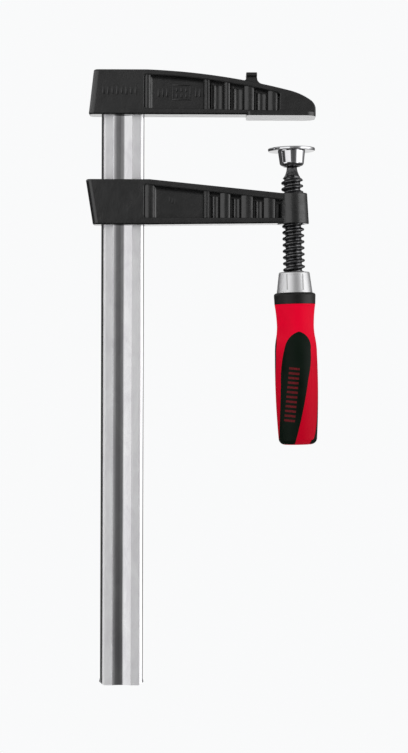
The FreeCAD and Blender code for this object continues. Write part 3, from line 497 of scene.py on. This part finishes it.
def studio():
    """Pale light all round, with the bright and dark bands that give metal its edges.

    The light goes by the heading of a direction, from 0 behind the camera to half a turn
    behind the clamp, above 0 to the right. The camera itself sees a plain backdrop.
    """
    world = bpy.data.worlds.new("studio")
    bpy.context.scene.world = world
    world.use_nodes = True
    tree = world.node_tree
    tree.nodes.clear()
    right, away, rise = axes_of(tree, "Generated")
    heading = stepped(tree, "ARCTAN2", right, stepped(tree, "MULTIPLY", away, -1.0))
    path = tree.nodes.new("ShaderNodeLightPath")
    diffuse = path.outputs["Is Diffuse Ray"]
    overhead = mixed(tree, diffuse, OVERHEAD_IN_GLOSS, OVERHEAD)
    underneath = mixed(tree, diffuse, UNDERNEATH_IN_GLOSS, UNDERNEATH)
    colour = bands(tree, heading, TOP_BANDS)
    for steepness, next_light in (
        (FOOT_RISE, bands(tree, heading, FOOT_BANDS)),
        (HIGH_RISE, bands(tree, heading, HIGH_BANDS)),
        (OVERHEAD_RISE, overhead),
        (LOW_RISE, bands(tree, heading, LOW_BANDS)),
        (UNDERNEATH_RISE, underneath),
    ):
        colour = mixed(tree, ranged(tree, rise, 0.0, 1.0, *steepness), colour, next_light)
    light = tree.nodes.new("ShaderNodeBackground")
    light.inputs["Strength"].default_value = STUDIO_STRENGTH
    join(tree, colour, light.inputs["Color"])
    plain = tree.nodes.new("ShaderNodeBackground")
    plain.inputs["Color"].default_value = BACKDROP
    chosen = tree.nodes.new("ShaderNodeMixShader")
    join(tree, path.outputs["Is Camera Ray"], chosen.inputs["Fac"])
    join(tree, light.outputs["Background"], chosen.inputs[1])
    join(tree, plain.outputs["Background"], chosen.inputs[2])
    output = tree.nodes.new("ShaderNodeOutputWorld")
    join(tree, chosen.outputs["Shader"], output.inputs["Surface"])


def floor_paint():
    """Pale matt floor that turns into the plain backdrop far from the clamp."""
    material, tree, shader = node_tree("floor_paint")
    shader.inputs["Base Color"].default_value = FLOOR_TONE
    shader.inputs["Roughness"].default_value = 0.9
    shader.inputs["Specular IOR Level"].default_value = 0.0
    place = tree.nodes.new("ShaderNodeTexCoord")
    reach = tree.nodes.new("ShaderNodeVectorMath")
    reach.operation = "LENGTH"
    join(tree, place.outputs["Object"], reach.inputs[0])
    far = ranged(tree, reach.outputs["Value"], 0.0, 1.0, FLOOR_NEAR * MM, FLOOR_CLEAR * MM)
    glow = tree.nodes.new("ShaderNodeEmission")
    glow.inputs["Color"].default_value = BACKDROP
    blend = tree.nodes.new("ShaderNodeMixShader")
    join(tree, far, blend.inputs["Fac"])
    join(tree, shader.outputs["BSDF"], blend.inputs[1])
    join(tree, glow.outputs["Emission"], blend.inputs[2])
    join(tree, blend.outputs["Shader"], tree.nodes["Material Output"].inputs["Surface"])
    return material


def lay_floor():
    """A round floor under the rail, which gives light but shows in no reflection."""
    mesh = bpy.data.meshes.new("pale_floor")
    shape = bmesh.new()
    bmesh.ops.create_circle(shape, cap_ends=True, segments=96, radius=FLOOR_RADIUS * MM)
    shape.to_mesh(mesh)
    shape.free()
    floor = bpy.data.objects.new("pale_floor", mesh)
    bpy.context.scene.collection.objects.link(floor)
    low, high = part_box("rail")
    floor.location = ((low.x + high.x) / 2, 0, low.z - FLOOR_DROP * MM)
    mesh.materials.append(floor_paint())
    floor.visible_glossy = False


def set_camera():
    """The camera at the photograph's angle, level but for its roll."""
    camera = bpy.data.objects.new("camera", bpy.data.cameras.new("camera"))
    bpy.context.scene.collection.objects.link(camera)
    camera.data.lens = LENS
    camera.data.sensor_width = SENSOR
    camera.data.clip_end = CAMERA_SIGHT * MM
    camera.location = CAMERA_PLACE * MM
    look = Matrix.Rotation(CAMERA_ROLL, 4, "Y") @ Matrix.Rotation(math.radians(90), 4, "X")
    camera.rotation_euler = look.to_euler()
    bpy.context.scene.camera = camera
    bpy.context.scene.view_settings.view_transform = "Standard"


def merge_doubles(shape):
    """Make one point of points in the same place."""
    bmesh.ops.remove_doubles(shape, verts=shape.verts, dist=SAME_PLACE * MM)


def spin_round(shape, points, angle, steps, rise=0.0):
    """Spin a chain of radii and heights round Z, rising rise in all."""
    chain = [shape.verts.new((reach * MM, 0, height * MM)) for reach, height in points]
    edges = [shape.edges.new(pair) for pair in zip(chain, chain[1:])]
    bmesh.ops.spin(
        shape, geom=chain + edges, cent=(0, 0, 0), axis=(0, 0, 1), dvec=(0, 0, rise * MM / steps),
        angle=angle, steps=steps, use_merge=rise == 0,
    )


def make_piece(name, shape, body, material, sharp=40):
    """Finish a mesh as a piece that rides on a body."""
    merge_doubles(shape)
    bmesh.ops.recalc_face_normals(shape, faces=shape.faces)
    for face in shape.faces:
        face.smooth = True
    mesh = bpy.data.meshes.new(name)
    shape.to_mesh(mesh)
    shape.free()
    mesh.set_sharp_from_angle(angle=math.radians(sharp))
    piece = bpy.data.objects.new(name, mesh)
    bpy.context.scene.collection.objects.link(piece)
    mesh.materials.append(material)
    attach(piece, body)
    return piece


def thread_room(height):
    """How far from the axis the thread may reach at a height, where it fades into the neck."""
    if height < THREAD_FULL:
        return FULL_ROOM
    if height < THREAD_FADED:
        return FADED_ROOM + (THREAD_FADED - height) * FADE_SLOPE
    return NECK_ROOM - (height - THREAD_FADED) * NECK_SLOPE


def cut_screw(material):
    """The screw as it is rolled: rounded threads that fade into the neck, and the ball on top."""
    thread = bmesh.new()
    points = [(reach, FIRST_CREST + height) for reach, height in CREST]
    spin_round(thread, points, -2 * math.pi * TURNS, TURNS * STEPS_PER_TURN, -LEAD * TURNS)
    merge_doubles(thread)
    for vert in thread.verts:
        reach = math.hypot(vert.co.x, vert.co.y)
        room = thread_room(vert.co.z / MM) * MM
        if reach > room:
            vert.co.x *= room / reach
            vert.co.y *= room / reach
    open_edges = [edge for edge in thread.edges if edge.is_boundary]
    bmesh.ops.holes_fill(thread, edges=open_edges, sides=0)
    spin_round(thread, CORE, 2 * math.pi, ROUND_STEPS)
    bmesh.ops.create_uvsphere(
        thread, u_segments=ROUND_STEPS, v_segments=BALL_RINGS, radius=BALL_RADIUS * MM,
        matrix=Matrix.Translation((0, 0, BALL_HEIGHT * MM)),
    )
    leant = Matrix.Rotation(-SCREW_LEAN, 4, "Y")
    bmesh.ops.transform(thread, matrix=leant, verts=thread.verts)
    screw = make_piece("rolled_screw", thread, "screw", material)
    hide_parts("spindle")


def brow_hollow(name, line, side, body, enamel):
    """The hollow under a pocket's upper edge, where the casting curves down into its web."""
    out = FACE_OUT - BROW_INSET
    depth = out - PANEL_OUT
    section = [(out, BROW_BURIED)]
    for step in range(BROW_STEPS + 1):
        turn = math.radians(90 / BROW_STEPS * step)
        section.append((out - depth * math.sin(turn), -BROW_DROP * (1 - math.cos(turn))))
    section += [(CREASE_OUT, -BROW_DROP), (CREASE_OUT, BROW_BURIED)]
    shape = bmesh.new()
    first_x, first_z = line[0]
    places = [(first_x * MM, side * y * MM, (first_z + z) * MM) for y, z in section]
    end = shape.faces.new([shape.verts.new(place) for place in places])
    for (x0, z0), (x1, z1) in zip(line, line[1:]):
        made = bmesh.ops.extrude_face_region(shape, geom=[end])["geom"]
        moved = [item for item in made if isinstance(item, bmesh.types.BMVert)]
        end = next(item for item in made if isinstance(item, bmesh.types.BMFace))
        bmesh.ops.translate(shape, vec=((x1 - x0) * MM, 0, (z1 - z0) * MM), verts=moved)
    make_piece(name, shape, body, enamel)


def raised_bars(name, rows, out, body, enamel):
    """Plain blocks with rounded edges, half sunk in a casting's front, with nothing to read."""
    shape = bmesh.new()
    for across, up, *size in rows:
        middle = Matrix.Translation(Vector((across, -out, up)) * MM)
        made = bmesh.ops.create_cube(
            shape, size=1.0, matrix=middle @ Matrix.Diagonal((*(Vector(size) * MM), 1)),
        )["verts"]
        bmesh.ops.bevel(
            shape, geom=list({edge for vert in made for edge in vert.link_edges}),
            offset=BAR_BEVEL * MM, affect="EDGES", segments=2, profile=0.5, material=-1,
        )
    make_piece(name, shape, body, enamel, sharp=30)


def finish_nodes(oxide, enamel):
    """Give each carried-over node the finish of its slot."""
    inlay_grip = soft_black_grip("soft_inlay_grip", INLAY_TONES, gloss=0.1)
    chrome = turned_steel(
        "polished_chrome", CHROME_TONE, 0.05, 0.09, ring_depth=0.004, shade_under=True,
    )
    finishes = {
        "rail": drawn_steel(),
        "fixed_jaw": enamel,
        "sliding_arm": enamel,
        "spindle": oxide,
        "ferrule": turned_steel(
            "satin_steel", FERRULE_TONE, 0.30, 0.38, ring_depth=0.012, edge_shaded=True,
        ),
        "grip_collar": soft_black_grip("soft_ring_grip", COLLAR_TONES, gloss=0.45),
        "handle_core": red_plastic(),
        "grip_inlay_front": soft_black_grip("printed_inlay_grip", INLAY_TONES, 0.1, barred=True),
        "grip_inlay_right": inlay_grip,
        "grip_inlay_left": inlay_grip,
        "ball_seat": liner_plastic(),
        "spring_ring": turned_steel("spring_wire", SPRING_TONE, 0.2, 0.3, ring_depth=0.01),
        "pressure_disc": chrome,
        "socket_cup": chrome,
    }
    for name, material in finishes.items():
        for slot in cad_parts[name].material_slots:
            slot.material = material


set_camera()
studio()
lay_floor()
oxide_finish = black_oxide()
enamel_finish = black_enamel()
cut_screw(oxide_finish)
for face, side in (("front", -1), ("back", 1)):
    brow_hollow(f"jaw_brow_{face}", JAW_BROW, side, "rail_and_jaw", enamel_finish)
    brow_hollow(f"arm_brow_{face}", ARM_BROW, side, "arm", enamel_finish)
raised_bars("jaw_block_bars", JAW_BLOCK_BARS, FACE_OUT, "rail_and_jaw", enamel_finish)
raised_bars("jaw_panel_bars", JAW_PANEL_BARS, PANEL_OUT, "rail_and_jaw", enamel_finish)
raised_bars("arm_panel_bars", ARM_PANEL_BARS, PANEL_OUT, "arm", enamel_finish)
finish_nodes(oxide_finish, enamel_finish)
